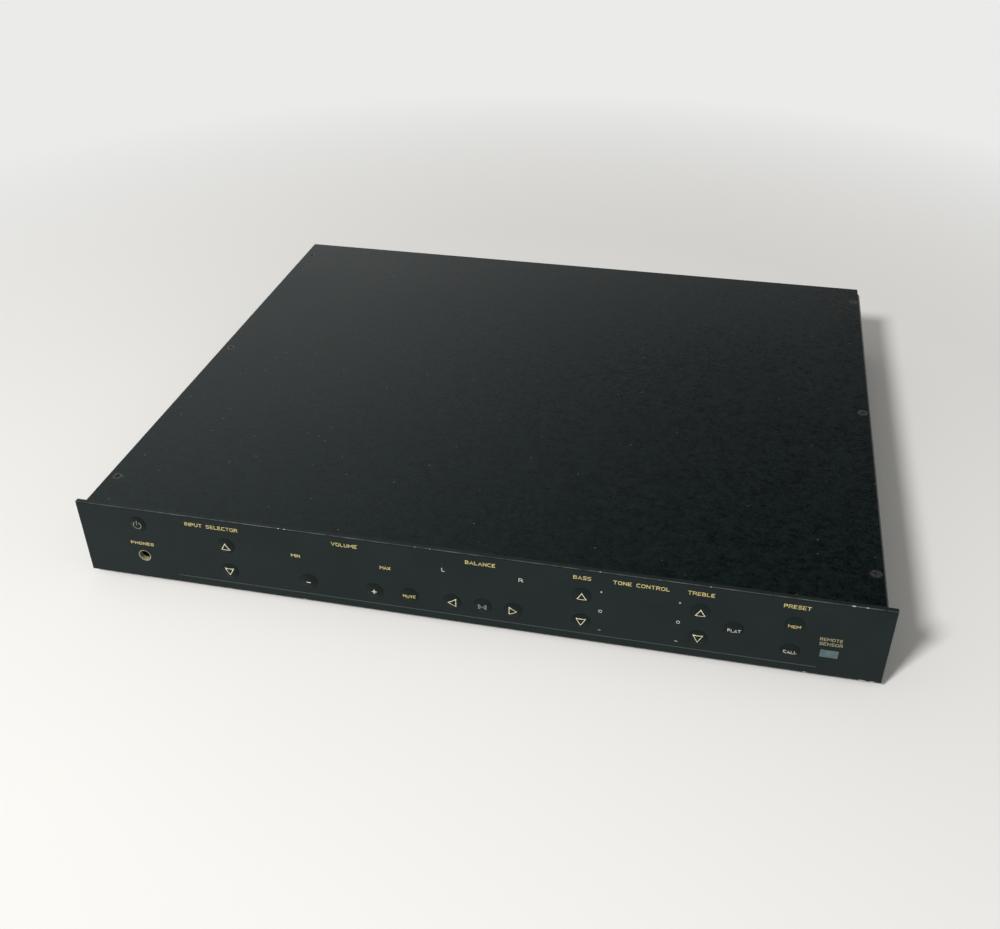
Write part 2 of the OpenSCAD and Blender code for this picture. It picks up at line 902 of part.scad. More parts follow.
module phono_housings() {
    half = phono_housing_w / 2;
    top = phono_rows[1] + half;
    color([0.1, 0.1, 0.1]) for (i = [0:phono_columns - 1]) {
        translate([phono_x + i * phono_pitch, phono_inner, 0])
            block([-half, -phono_housing_d, board_top], [half, 0, top]);
    }
}

// Metal sleeve, a little thinner where it passes through its ring and the rear panel
module phono_sleeve() {
    ring_face = tray_rear + phono_ring_t;
    difference() {
        union() {
            rod(0, 0, phono_neck_r, phono_inner, ring_face);
            rod(0, 0, phono_r, ring_face, phono_end);
        }
        rod(0, 0, phono_in_r, phono_inner - eps, phono_end + eps);
    }
}

module phono_sleeves() {
    color("gold") for (row = [0, 1]) {
        at_phono(row) phono_sleeve();
    }
}

// Coloured ring outside the panel and core inside the sleeve
module phono_ring() {
    pipe(0, 0, phono_ring_r, phono_neck_r + phono_gap, tray_rear, tray_rear + phono_ring_t);
    pipe(0, 0, phono_in_r - phono_gap, phono_core_r, phono_inner, phono_core_end);
}

module phono_rings_left() {
    color("white") at_phono(1) phono_ring();
}

module phono_rings_right() {
    color("red") at_phono(0) phono_ring();
}

module phono_contacts() {
    color("gold") for (row = [0, 1]) {
        at_phono(row)
            pipe(0, 0, phono_core_r - phono_gap, phono_contact_r, phono_inner, phono_contact_end);
    }
}

// Appliance inlet with a flange, a deep cavity and two cut corners at its top
module mains_inlet() {
    half_w = inlet_cavity[0] / 2;
    half_h = inlet_cavity[1] / 2;
    cut = inlet_corner;
    color([0.08, 0.08, 0.08]) translate([inlet_x, 0, inlet_z]) difference() {
        union() {
            block(
                [-inlet_flange[0] / 2, tray_rear, -inlet_flange[1] / 2],
                [inlet_flange[0] / 2, tray_rear + inlet_flange_t, inlet_flange[1] / 2]
            );
            block(
                [-inlet_body[0] / 2, inlet_back, -inlet_body[1] / 2],
                [inlet_body[0] / 2, tray_rear + eps, inlet_body[1] / 2]
            );
        }
        translate([0, tray_rear + inlet_flange_t + eps, 0]) rotate([90, 0, 0])
            linear_extrude(tray_rear + inlet_flange_t - inlet_floor + eps)
            polygon([
                [-half_w, -half_h], [half_w, -half_h], [half_w, half_h - cut],
                [half_w - cut, half_h], [cut - half_w, half_h], [-half_w, half_h - cut]
            ]);
        for (side = [-1, 1]) {
            rod(side * inlet_screw_step, 0, m3_clear_r, tray_rear - eps, tray_rear + inlet_flange_t + eps);
        }
        inlet_blades(pin_gap);
    }
}

// Three flat blades, each grown by a gap where the housing lets them through
module inlet_blades(gap) {
    half_w = pin_size[0] / 2 + gap;
    half_h = pin_size[1] / 2 + gap;
    for (place = PIN_PLACES) {
        translate([place[0], 0, place[1]])
            block([-half_w, pin_tail, -half_h], [half_w, pin_tip, half_h]);
    }
}

module inlet_pins() {
    color("silver") translate([inlet_x, 0, inlet_z]) inlet_blades(0);
}

module fuse_holder() {
    color([0.08, 0.08, 0.08]) difference() {
        union() {
            rod(fuse_x, fuse_z, fuse_flange_r, tray_rear, tray_rear + fuse_flange_t);
            rod(fuse_x, fuse_z, fuse_body_r, fuse_back, tray_rear + eps);
        }
        rod(fuse_x, fuse_z, fuse_bore_r, fuse_floor, tray_rear + fuse_flange_t + eps);
    }
}

// Bayonet cap with a screwdriver slot
module fuse_cap() {
    face = tray_rear + fuse_flange_t + fuse_cap_gap;
    end = face + fuse_cap_t;
    half = fuse_slot[0] / 2;
    color([0.1, 0.1, 0.1]) translate([fuse_x, 0, fuse_z]) difference() {
        union() {
            rod(0, 0, fuse_cap_r, face, end);
            rod(0, 0, fuse_bore_r - fuse_plug_gap, face - fuse_plug_l, face + eps);
        }
        block([-fuse_cap_r, end - fuse_slot[1], -half], [fuse_cap_r, end + eps, half]);
        for (turn = [0:fuse_grip_turn:359]) {
            rotate([0, turn, 0]) rod(fuse_cap_r + fuse_grip_out, 0, fuse_grip_r, face - eps, end + eps);
        }
    }
}

module fuse() {
    color([0.8, 0.85, 0.85]) rod(fuse_x, fuse_z, fuse_tube_r, fuse_start, fuse_start + fuse_tube_l);
}

// Flat cable from the display board, over and down to the main board, with a plug at each end
module ribbon_cable() {
    start = display_y + board_t;
    end = board_y0 + ribbon_run;
    half = ribbon_w / 2;
    wide = half + plug_rim;
    color([0.6, 0.6, 0.62]) translate([ribbon_x, 0, 0]) {
        block([-wide, start, ribbon_z - plug_h / 2], [wide, start + plug_l, ribbon_z + plug_h / 2]);
        block([-half, start + plug_l - eps, ribbon_z - ribbon_t / 2], [half, end, ribbon_z + ribbon_t / 2]);
        block([-half, end - ribbon_t, board_top + plug_l - eps], [half, end, ribbon_z]);
        block([-wide, end - plug_h, board_top], [wide, end, board_top + plug_l]);
    }
}

// Point on a smooth curve through a route's points, at parameter u in whole points
function route_point(p, u) =
    let (
        last = len(p) - 1,
        i = min(floor(u), last - 1),
        t = u - i,
        a = p[max(i - 1, 0)],
        b = p[i],
        c = p[i + 1],
        d = p[min(i + 2, last)]
    )
    0.5 * (2 * b + (c - a) * t + (2 * a - 5 * b + 4 * c - d) * t * t + (3 * b - a - 3 * c + d) * t * t * t);

// Round wire swept along a route
module wire(route) {
    rings = (len(route) - 1) * wire_steps;
    path = [for (i = [0:rings]) route_point(route, i / wire_steps)];
    points = [
        for (i = [0:rings])
        let (
            along = path[min(i + 1, rings)] - path[max(i - 1, 0)],
            side = cross(along, [0, 0, 1]),
            u = side / norm(side),
            v = cross(u, along) / norm(along)
        )
        for (j = [0:wire_sides - 1])
        path[i] + wire_r * (cos(j * 360 / wire_sides) * u + sin(j * 360 / wire_sides) * v)
    ];
    walls = [
        for (i = [0:rings - 1], j = [0:wire_sides - 1])
        let (
            a = i * wire_sides + j,
            b = i * wire_sides + (j + 1) % wire_sides
        )
        for (face = [[a, b, b + wire_sides], [a, b + wire_sides, a + wire_sides]]) face
    ];
    start_cap = [for (j = [wire_sides - 1:-1:0]) j];
    end_cap = [for (j = [0:wire_sides - 1]) rings * wire_sides + j];
    polyhedron(points, concat(walls, [start_cap, end_cap]));
}

module supply_wires() {
    color([0.15, 0.3, 0.6]) for (route = concat(MAINS_ROUTES, SECONDARY_ROUTES)) {
        wire(route);
    }
}

to_origin() chassis_tray();
to_origin() cover_nuts();
to_origin() front_panel();
to_origin() front_film();
to_origin() top_cover();
to_origin() cover_screws();
to_origin() rear_panel();
to_origin() rear_panel_screws();
to_origin() feet();
to_origin() foot_screws();
for (k = KEYS) {
    to_origin() key(k[1], k[2]);
}
to_origin() key_switches();
to_origin() display_board();
to_origin() board_pillars();
to_origin() board_screws();
to_origin() input_digit();
to_origin() indicator_lamps();
to_origin() sensor_window();
to_origin() infrared_receiver();
to_origin() phones_bush();
to_origin() phones_socket();
to_origin() main_board();
to_origin() main_board_posts();
to_origin() transformer_core();
to_origin() transformer_winding();
to_origin() transformer_brackets();
to_origin() chassis_screws();
to_origin() filter_capacitors();
to_origin() signal_chips();
to_origin() relays();
to_origin() regulators();
to_origin() heat_sink();
to_origin() phono_housings();
to_origin() phono_sleeves();
to_origin() phono_rings_left();
to_origin() phono_rings_right();
to_origin() phono_contacts();
to_origin() mains_inlet();
to_origin() inlet_pins();
to_origin() fuse_holder();
to_origin() fuse_cap();
to_origin() fuse();
to_origin() ribbon_cable();
to_origin() supply_wires();
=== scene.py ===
"""Slim audio control amplifier: finishes, printed legends, light and camera around the CAD frame."""

import json
import math

import bmesh
import bpy
from mathutils import Euler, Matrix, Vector
from mathutils.geometry import delaunay_2d_cdt


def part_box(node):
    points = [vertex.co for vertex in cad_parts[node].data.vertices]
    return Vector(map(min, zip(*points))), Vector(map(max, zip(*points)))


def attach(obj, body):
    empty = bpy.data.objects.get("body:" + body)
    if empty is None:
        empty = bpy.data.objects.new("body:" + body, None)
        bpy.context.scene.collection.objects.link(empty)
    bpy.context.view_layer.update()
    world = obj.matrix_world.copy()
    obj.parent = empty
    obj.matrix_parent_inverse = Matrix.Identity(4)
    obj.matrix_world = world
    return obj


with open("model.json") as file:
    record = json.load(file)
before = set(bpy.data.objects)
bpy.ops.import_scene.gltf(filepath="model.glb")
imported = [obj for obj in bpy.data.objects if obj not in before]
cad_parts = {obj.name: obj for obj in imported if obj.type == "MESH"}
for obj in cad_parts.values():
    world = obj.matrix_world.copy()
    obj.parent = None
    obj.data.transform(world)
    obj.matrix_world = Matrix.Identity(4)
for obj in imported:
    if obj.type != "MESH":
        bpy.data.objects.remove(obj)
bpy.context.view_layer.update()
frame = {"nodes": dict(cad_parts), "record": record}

MM = 0.001
scene = bpy.context.scene
scene.view_settings.view_transform = "Standard"

film_low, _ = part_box("front_film")
panel_low, panel_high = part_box("front_panel")
cover_low, cover_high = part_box("top_cover")
_, rear_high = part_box("rear_panel")


# Shader nodes

NOISE_RANGE = (0.3, 0.7)


class Nodes:
    """Nodes of one shader tree, made and linked by short calls."""

    def __init__(self, tree):
        self.tree = tree

    def put(self, target, value):
        """Links a node's output to an input, or sets the input's own value."""
        if isinstance(value, bpy.types.NodeSocket):
            self.tree.links.new(value, target)
        else:
            target.default_value = value

    def add(self, kind, operation=None, **inputs):
        """A new node, with inputs by name and with underscores for spaces."""
        node = self.tree.nodes.new("ShaderNode" + kind)
        if operation:
            node.operation = operation
        for name, value in inputs.items():
            self.put(node.inputs[name.replace("_", " ")], value)
        return node

    def math(self, operation, first, second):
        """The result of a sum, product or like operation on two values."""
        node = self.add("Math", operation)
        self.put(node.inputs[0], first)
        self.put(node.inputs[1], second)
        return node.outputs[0]

    def span(self, source, low, high, to_low=0.0, to_high=1.0):
        """A value from low to high taken to the span to_low to to_high, and held there."""
        node = self.add("MapRange", Value=source, From_Min=low, From_Max=high)
        self.put(node.inputs["To Min"], to_low)
        self.put(node.inputs["To Max"], to_high)
        return node.outputs[0]

    def spread(self, noise, to_low=0.0, to_high=1.0):
        """The range that most of a noise lies in, taken to the span to_low to to_high."""
        return self.span(noise, *NOISE_RANGE, to_low, to_high)

    def seen(self):
        """1 for what the camera, a reflection or glass sees, and 0 for light that falls on a surface."""
        rays = self.add("LightPath").outputs
        mirrored = self.math("MAXIMUM", rays["Is Glossy Ray"], rays["Is Transmission Ray"])
        return self.math("MAXIMUM", rays["Is Camera Ray"], mirrored)


class Paint(Nodes):
    """One procedural material: a Principled shader and the nodes that feed it."""

    def __init__(self, name, **sockets):
        self.material = bpy.data.materials.new(name)
        self.material.use_nodes = True
        super().__init__(self.material.node_tree)
        self.shader = self.tree.nodes["Principled BSDF"]
        for socket, value in sockets.items():
            self.feed(socket.replace("_", " "), value)
        self.place = self.add("TexCoord").outputs["Object"]

    def feed(self, socket, value):
        """Links or sets one of the shader's own sockets."""
        self.put(self.shader.inputs[socket], value)

    def stretched(self, scale):
        """The place, stretched by a scale for each axis."""
        return self.add("Mapping", Vector=self.place, Scale=scale).outputs[0]

    def noise(self, scale, detail=3.0, rough=0.55, stretch=None):
        """Soft noise, about 0 to 1, with scale lumps per metre."""
        place = self.stretched(stretch) if stretch else self.place
        return self.add("TexNoise", Vector=place, Scale=scale, Detail=detail, Roughness=rough).outputs[0]

    def cells(self, scale):
        """Distance to the nearest of scattered points, with scale points per metre."""
        return self.add("TexVoronoi", Vector=self.place, Scale=scale).outputs["Distance"]

    def axes(self):
        """The place's X, Y and Z."""
        return self.add("SeparateXYZ", Vector=self.place).outputs

    def blend(self, factor, first, second):
        """A colour between two others."""
        node = self.add("Mix")
        node.data_type = "RGBA"
        self.put(node.inputs["Factor"], factor)
        colours = [socket for socket in node.inputs if socket.type == "RGBA"]
        for socket, value in zip(colours, (first, second)):
            self.put(socket, value if isinstance(value, bpy.types.NodeSocket) else (*value, 1.0))
        return next(socket for socket in node.outputs if socket.type == "RGBA")

    def bump(self, height, depth, edge_round=None):
        """Surface relief of that depth, and sharp edges shaded as rounded, in metres."""
        node = self.add("Bump", Distance=depth, Height=height)
        if edge_round:
            self.put(node.inputs["Normal"], self.add("Bevel", Radius=edge_round).outputs[0])
        self.feed("Normal", node.outputs[0])

    def near(self, point, reach, stretch):
        """1 at a point, and 0 from reach outwards, with the reach divided by a stretch for each axis."""
        node = self.add("VectorMath", "DISTANCE")
        self.put(node.inputs[0], self.stretched(stretch))
        self.put(node.inputs[1], [place * by for place, by in zip(point, stretch)])
        return self.span(node.outputs["Value"], 0.0, reach, 1.0, 0.0)

    def nearness(self, low, high, reach, axes="xz"):
        """1 at a box's edges across these axes, and 0 from reach inwards."""
        outputs = self.axes()
        nearest = None
        for axis in axes:
            index = "xyz".index(axis)
            for side in (
                self.math("SUBTRACT", outputs[index], low[index]),
                self.math("SUBTRACT", high[index], outputs[index]),
            ):
                nearest = side if nearest is None else self.math("MINIMUM", nearest, side)
        return self.span(nearest, 0.0, reach, 1.0, 0.0)


# Finishes

COOL_SHEEN = (0.7, 1.0, 1.0, 1.0)
EDGE_ROUND = 0.25 * MM
COVER_EDGE = 0.4 * MM
PANEL_EDGE = 0.5 * MM
# Distances below the panel's top at which wear by hands starts and is full
HANDLED = (2.0 * MM, 1.0 * MM)
# Radii between which the bush's bore ends and its ring starts, and depths between which painted shade
# darkens the bore
BUSH_RING = (3.4 * MM, 3.5 * MM)
BUSH_PAINTED_SHADE = (2.4 * MM, 3.2 * MM)
# Chips in the panel's front edges: place across, edge and reach in mm, drawn out along the edge
EDGE_CHIPS = [
    (-97.6, "top", 0.42),
    (-94.3, "top", 0.3),
    (-23.2, "top", 0.26),
    (-15.1, "top", 0.26),
    (72.5, "top", 0.26),
    (126.9, "top", 0.32),
    (194.3, "top", 0.55),
    (200.7, "top", 0.34),
    (-87.9, "bottom", 0.4),
    (177.7, "bottom", 0.55),
    (205.9, "bottom", 1.2),
    (210.7, "bottom", 0.9),
]
CHIP_STRETCH = (0.4, 1.0, 1.0)


def plain_finish(name, dark, light, rough, grain=400.0, relief=0.01 * MM, metallic=0.0, stretch=None):
    """Finish with mottled colour, uneven gloss and fine relief, for parts without a finish of their own."""
    paint = Paint(name, Metallic=metallic)
    mottle = paint.noise(90.0, stretch=stretch)
    fine = paint.noise(grain, stretch=stretch)
    paint.feed("Base Color", paint.blend(paint.spread(mottle), dark, light))
    paint.feed("Roughness", paint.spread(fine, rough - 0.06, rough + 0.06))
    paint.bump(fine, relief, EDGE_ROUND)
    return paint.material


def metal(name, dark, light, rough, stretch=(1.0, 6.0, 1.0)):
    """Plated or bare metal with drawn lines and some tarnish."""
    return plain_finish(name, dark, light, rough, 900.0, 0.006 * MM, 1.0, stretch)


def powder_coat():
    """Fine-textured black coat with faint scuffs, settled dust and rubbed edges."""
    paint = Paint("powder_coat", Specular_IOR_Level=0.19, Specular_Tint=COOL_SHEEN)
    grain = paint.noise(560.0, 3.0, 0.7)
    blotches = paint.noise(260.0, 3.0)
    wide = paint.noise(7.0, 3.0)
    scuffs = paint.span(paint.noise(60.0, 4.0, 0.7, stretch=(0.5, 7.0, 1.0)), 0.66, 0.74, 0.0, 0.3)
    dust = paint.span(paint.cells(95.0), 0.035, 0.06, 0.4, 0.0)
    rubbed = paint.math(
        "MULTIPLY",
        paint.nearness(cover_low, cover_high, COVER_EDGE, "xy"),
        paint.span(paint.noise(140.0, 4.0), 0.6, 0.75, 0.0, 0.3),
    )
    texture = paint.math("ADD", grain, blotches)
    coat = paint.blend(paint.span(texture, 0.75, 1.25), (0.0, 0.0006, 0.0006), (0.0032, 0.0078, 0.0078))
    scuffed = paint.blend(scuffs, coat, (0.02, 0.024, 0.024))
    dusty = paint.blend(dust, scuffed, (0.16, 0.16, 0.155))
    paint.feed("Base Color", paint.blend(rubbed, dusty, (0.05, 0.052, 0.05)))
    paint.feed("Roughness", paint.span(paint.math("ADD", wide, texture), 1.2, 1.8, 0.25, 0.35))
    paint.bump(grain, 0.09 * MM, EDGE_ROUND)
    return paint.material


def panel_metal():
    """Black anodised plate, rubbed to grey metal along its front edges, with a few bright chips."""
    paint = Paint("panel_metal", Specular_IOR_Level=0.2, Specular_Tint=COOL_SHEEN)
    along = paint.noise(160.0, 4.0, 0.6)
    patches = paint.noise(38.0, 2.0)
    _, y, z = paint.axes()
    front = paint.span(y, panel_low.y, panel_low.y + PANEL_EDGE, 1.0, 0.0)
    edge = paint.math("MULTIPLY", front, paint.nearness(panel_low, panel_high, PANEL_EDGE))
    handled = paint.span(z, *[panel_high.z - below for below in HANDLED], 0.25, 1.0)
    broken = paint.math(
        "MULTIPLY",
        paint.span(along, 0.3, 0.65, 0.1, 1.0),
        paint.span(patches, 0.35, 0.6, 0.35, 1.0),
    )
    rubbed = paint.math("MULTIPLY", paint.span(edge, 0.1, 0.6), paint.math("MULTIPLY", handled, broken))
    chips = None
    for across, side, reach in EDGE_CHIPS:
        up = panel_high.z if side == "top" else panel_low.z
        chip = paint.near((across * MM, panel_low.y, up), reach * MM, CHIP_STRETCH)
        chips = chip if chips is None else paint.math("MAXIMUM", chips, chip)
    chipped = paint.span(paint.math("ADD", chips, paint.spread(along, -0.3, 0.3)), 0.3, 0.45)
    black = paint.blend(paint.spread(patches), (0.006, 0.009, 0.009), (0.009, 0.0125, 0.0125))
    worn = paint.blend(rubbed, black, (0.15, 0.155, 0.148))
    paint.feed("Base Color", paint.blend(chipped, worn, (0.52, 0.51, 0.48)))
    paint.feed("Metallic", paint.span(rubbed, 0.0, 1.0, 0.0, 0.5))
    paint.feed("Roughness", paint.spread(along, 0.4, 0.54))
    paint.bump(paint.noise(900.0, 2.0), 0.008 * MM, EDGE_ROUND)
    return paint.material


def printed_film():
    """Satin black film with a fine emboss and faint finger marks."""
    paint = Paint("printed_film", Specular_IOR_Level=0.17, Specular_Tint=COOL_SHEEN)
    marks = paint.noise(28.0, 4.0, 0.6)
    emboss = paint.noise(1500.0, 2.0)
    film = paint.blend(paint.span(marks, 0.35, 0.7), (0.006, 0.0095, 0.0092), (0.009, 0.013, 0.0127))
    paint.feed("Base Color", film)
    paint.feed("Roughness", paint.span(paint.math("ADD", marks, emboss), 0.7, 1.3, 0.4, 0.54))
    paint.bump(emboss, 0.008 * MM)
    return paint.material


def key_face_painted_shade():
    """Satin black key, darker than the film as painted shade of the domes, and smoother in patches."""
    paint = Paint("key_face_painted_shade", Specular_IOR_Level=0.14, Specular_Tint=COOL_SHEEN)
    touch = paint.noise(120.0, 3.0)
    # Painted shade: the key's black is set darker than the film's, for the darker look of the domes
    face = paint.blend(paint.spread(touch), (0.0046, 0.0074, 0.0072), (0.0068, 0.0098, 0.0096))
    paint.feed("Base Color", face)
    paint.feed("Roughness", paint.spread(touch, 0.4, 0.5))
    paint.bump(paint.noise(1500.0, 2.0), 0.006 * MM)
    return paint.material


def blackened_screw():
    """Black oxide, rubbed to grey steel in patches."""
    paint = Paint("blackened_screw", Specular_IOR_Level=0.4)
    wear = paint.noise(700.0, 4.0, 0.65)
    bare = paint.span(wear, 0.47, 0.66)
    paint.feed("Base Color", paint.blend(bare, (0.009, 0.011, 0.011), (0.1, 0.108, 0.106)))
    paint.feed("Metallic", paint.math("MULTIPLY", bare, 0.8))
    paint.feed("Roughness", paint.spread(wear, 0.5, 0.32))
    paint.bump(wear, 0.02 * MM, EDGE_ROUND)
    return paint.material


def circuit_board():
    """Green solder mask, lighter over raised copper runs."""
    paint = Paint("circuit_board")
    runs = paint.span(paint.noise(260.0, 0.0, 0.5, stretch=(1.0, 0.15, 1.0)), 0.46, 0.5)
    paint.feed("Base Color", paint.blend(runs, (0.012, 0.1, 0.04), (0.03, 0.17, 0.07)))
    paint.feed("Roughness", paint.spread(paint.noise(500.0), 0.28, 0.4))
    paint.bump(runs, 0.03 * MM)
    return paint.material


def sensor_glass():
    """Smoky blue-grey window, cloudy in colour and gloss."""
    paint = Paint("sensor_glass", Specular_IOR_Level=0.5)
    cloud = paint.noise(240.0, 3.0)
    depth = paint.blend(paint.spread(cloud), (0.045, 0.075, 0.08), (0.078, 0.12, 0.126))
    paint.feed("Base Color", depth)
    paint.feed("Roughness", paint.spread(cloud, 0.16, 0.28))
    paint.bump(cloud, 0.004 * MM)
    return paint.material


def fuse_tube():
    """Clear glass with a trace of blue-green."""
    paint = Paint("fuse_tube", Transmission_Weight=0.85, IOR=1.5)
    tint = paint.noise(200.0)
    paint.feed("Base Color", paint.blend(tint, (0.8, 0.85, 0.85), (0.92, 0.95, 0.95)))
    paint.feed("Roughness", paint.spread(tint, 0.04, 0.12))
    return paint.material


def worn_bush_painted_shade():
    """Dull nickel ring around a matt brass bore, with painted shade that turns the bore near black deep
    inside.
    """
    paint = Paint("worn_bush_painted_shade")
    low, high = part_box("phones_bush")
    x, y, z = paint.axes()
    across = paint.math("SUBTRACT", x, (low.x + high.x) / 2)
    up = paint.math("SUBTRACT", z, (low.z + high.z) / 2)
    squares = paint.math("ADD", paint.math("MULTIPLY", across, across), paint.math("MULTIPLY", up, up))
    plating = paint.span(squares, *[radius ** 2 for radius in BUSH_RING])
    tarnish = paint.spread(paint.noise(420.0, 3.0))
    # Painted shade deep in the bore: past these depths the brass is blended to near black
    inside = paint.span(y, *[low.y + depth for depth in BUSH_PAINTED_SHADE])
    brass = paint.blend(tarnish, (0.24, 0.22, 0.12), (0.44, 0.41, 0.25))
    nickel = paint.blend(tarnish, (0.12, 0.117, 0.095), (0.3, 0.29, 0.25))
    bore = paint.blend(inside, brass, (0.012, 0.011, 0.01))
    paint.feed("Base Color", paint.blend(plating, bore, nickel))
    paint.feed("Metallic", paint.span(plating, 0.0, 1.0, 0.25, 0.9))
    paint.feed("Roughness", paint.span(tarnish, 0.0, 1.0, 0.3, 0.42))
    paint.bump(tarnish, 0.004 * MM, EDGE_ROUND)
    return paint.material


def legend_ink(name, thin, full):
    """Screen ink, a little thinner in places."""
    paint = Paint(name, Specular_IOR_Level=0.4)
    worn = paint.noise(900.0, 3.0)
    paint.feed("Base Color", paint.blend(paint.span(worn, 0.35, 0.6), thin, full))
    paint.feed("Roughness", paint.spread(worn, 0.5, 0.36))
    paint.bump(worn, 0.003 * MM)
    return paint.material


RUBBER = plain_finish("foot_rubber", (0.012, 0.012, 0.012), (0.022, 0.021, 0.02), 0.78, 1200.0, 0.05 * MM)
PLASTIC = plain_finish(
    "dark_plastic", (0.011, 0.011, 0.012), (0.018, 0.018, 0.019), 0.46, 1600.0, 0.02 * MM
)
RIBBON = plain_finish(
    "ribbon_grey", (0.25, 0.25, 0.26), (0.36, 0.36, 0.37), 0.5, 900.0, 0.1 * MM, stretch=(12.0, 0.2, 0.2)
)
FINISHES = {
    "case_black": powder_coat(),
    "panel_black": panel_metal(),
    "film_black": printed_film(),
    "key_black": key_face_painted_shade(),
    "screw_black": blackened_screw(),
    "zinc_steel": metal("zinc_plate", (0.5, 0.49, 0.44), (0.68, 0.67, 0.63), 0.34),
    "foot_rubber": RUBBER,
    "dark_plastic": PLASTIC,
    "board_green": circuit_board(),
    "lamp_red": plain_finish("lamp_red", (0.12, 0.008, 0.006), (0.2, 0.016, 0.012), 0.3),
    "sensor_grey": sensor_glass(),
    "bright_nickel": metal("nickel_plate", (0.36, 0.34, 0.28), (0.58, 0.55, 0.48), 0.26),
    "core_iron": metal("core_iron", (0.1, 0.095, 0.09), (0.2, 0.19, 0.18), 0.5, (1.0, 1.0, 30.0)),
    "winding_copper": plain_finish("winding_tape", (0.42, 0.27, 0.05), (0.58, 0.38, 0.08), 0.4, 600.0),
    "capacitor_sleeve": plain_finish("capacitor_sleeve", (0.012, 0.018, 0.06), (0.02, 0.03, 0.09), 0.32),
    "relay_ivory": plain_finish("relay_ivory", (0.55, 0.5, 0.36), (0.66, 0.61, 0.46), 0.42),
    "bare_aluminium": metal(
        "bare_aluminium", (0.58, 0.58, 0.58), (0.72, 0.72, 0.72), 0.36, (1.0, 1.0, 12.0)
    ),
    "ring_white": plain_finish("ring_white", (0.62, 0.61, 0.57), (0.74, 0.73, 0.7), 0.34),
    "ring_red": plain_finish("ring_red", (0.36, 0.012, 0.012), (0.5, 0.022, 0.02), 0.34),
    "contact_brass": metal("contact_brass", (0.6, 0.42, 0.14), (0.78, 0.58, 0.24), 0.28),
    "fuse_glass": fuse_tube(),
    "ribbon_grey": RIBBON,
    "wire_blue": plain_finish("wire_blue", (0.012, 0.035, 0.16), (0.02, 0.055, 0.24), 0.38),
}
OWN_FINISHES = {"phones_bush": worn_bush_painted_shade()}
GOLD_INK = legend_ink("gold_ink", (0.31, 0.25, 0.095), (0.53, 0.44, 0.18))
PALE_INK = legend_ink("pale_gold_ink", (0.44, 0.4, 0.27), (0.7, 0.65, 0.47))
DULL_INK = legend_ink("dull_gold_ink", (0.17, 0.145, 0.08), (0.3, 0.26, 0.155))
SOFT_INK = legend_ink("soft_grey_ink", (0.3, 0.29, 0.24), (0.5, 0.48, 0.41))
FAINT_INK = legend_ink("faint_grey_ink", (0.13, 0.13, 0.11), (0.24, 0.24, 0.2))
DIM_INK = legend_ink("dim_ink", (0.024, 0.034, 0.036), (0.037, 0.049, 0.051))
WHITE_INK = legend_ink("white_ink", (0.42, 0.42, 0.4), (0.62, 0.62, 0.6))

for subpart in frame["record"]["subparts"]:
    node = frame["nodes"][subpart["node"]]
    node.data.materials.clear()
    node.data.materials.append(OWN_FINISHES.get(subpart["node"]) or FINISHES[subpart["material_slot"]])


# Flat figures for print: each is a list of outlines that may overlap, in mm across X and Z

CURVE_STEPS = 5
CURVE_SHARE = 0.48
MITRE_LIMIT = 0.7


def bar(centre, width, height):
    """Rectangle around a centre."""
    x, z = centre
    left, right = x - width / 2, x + width / 2
    low, high = z - height / 2, z + height / 2
    return [[(left, low), (right, low), (right, high), (left, high)]]


def line(points, stroke):
    """Band along a chain of points, with mitred joints and square ends."""
    chain = [Vector(point) for point in points]
    half = stroke / 2
    ways = [(end - start).normalized() for start, end in zip(chain, chain[1:])]
    chain[0] -= ways[0] * half
    chain[-1] += ways[-1] * half
    sides = []
    for i, point in enumerate(chain):
        before = ways[max(i - 1, 0)]
        after = ways[min(i, len(ways) - 1)]
        across = (before + after).orthogonal().normalized()
        reach = half / max(across.dot(before.orthogonal()), MITRE_LIMIT)
        sides.append((point - across * reach, point + across * reach))
    bands = []
    for (right, left), (far_right, far_left) in zip(sides, sides[1:]):
        bands.append([right, far_right, far_left, left])
    return bands


def eased(points, radius):
    """The same chain of points, with curves that start at a radius from each corner where there is room."""
    chain = [Vector(point) for point in points]
    curve = chain[:1]
    for before, corner, after in zip(chain, chain[1:], chain[2:]):
        start = corner + (before - corner) * min(radius / (before - corner).length, CURVE_SHARE)
        end = corner + (after - corner) * min(radius / (after - corner).length, CURVE_SHARE)
        for step in range(CURVE_STEPS + 1):
            part = step / CURVE_STEPS
            curve.append(start.lerp(corner, part).lerp(corner.lerp(end, part), part))
    return curve + chain[-1:]


def arc(centre, radius, stroke, start=0.0, end=360.0, steps=30):
    """Band along a circle, with angles in degrees clockwise from the top."""
    angles = [math.radians(start + (end - start) * i / steps) for i in range(steps + 1)]
    x, z = centre
    return line([(x + radius * math.sin(angle), z + radius * math.cos(angle)) for angle in angles], stroke)


def plus(centre, size, stroke):
    """Plus sign around a centre."""
    return bar(centre, size, stroke) + bar(centre, stroke, size)


def triangle(centre, width, height, turn, stroke):
    """Outlined triangle that points up, turned clockwise by an angle in degrees."""
    half = width / 2
    top, low = height / 2, stroke - height / 2
    inset = stroke * math.hypot(half, height) / half
    reach = (top - inset - low) * half / height
    outer = [(0.0, top), (-half, -top), (half, -top)]
    inner = [(0.0, top - inset), (-reach, low), (reach, low)]
    sine, cosine = math.sin(math.radians(turn)), math.cos(math.radians(turn))

    def placed(point):
        x, z = point
        return (centre[0] + x * cosine + z * sine, centre[1] - x * sine + z * cosine)

    sides = [(outer[i], outer[i - 2], inner[i - 2], inner[i]) for i in range(3)]
    return [[placed(point) for point in side] for side in sides]


# Plain capitals and numbers as chains of points on a grid that is 6 rows high

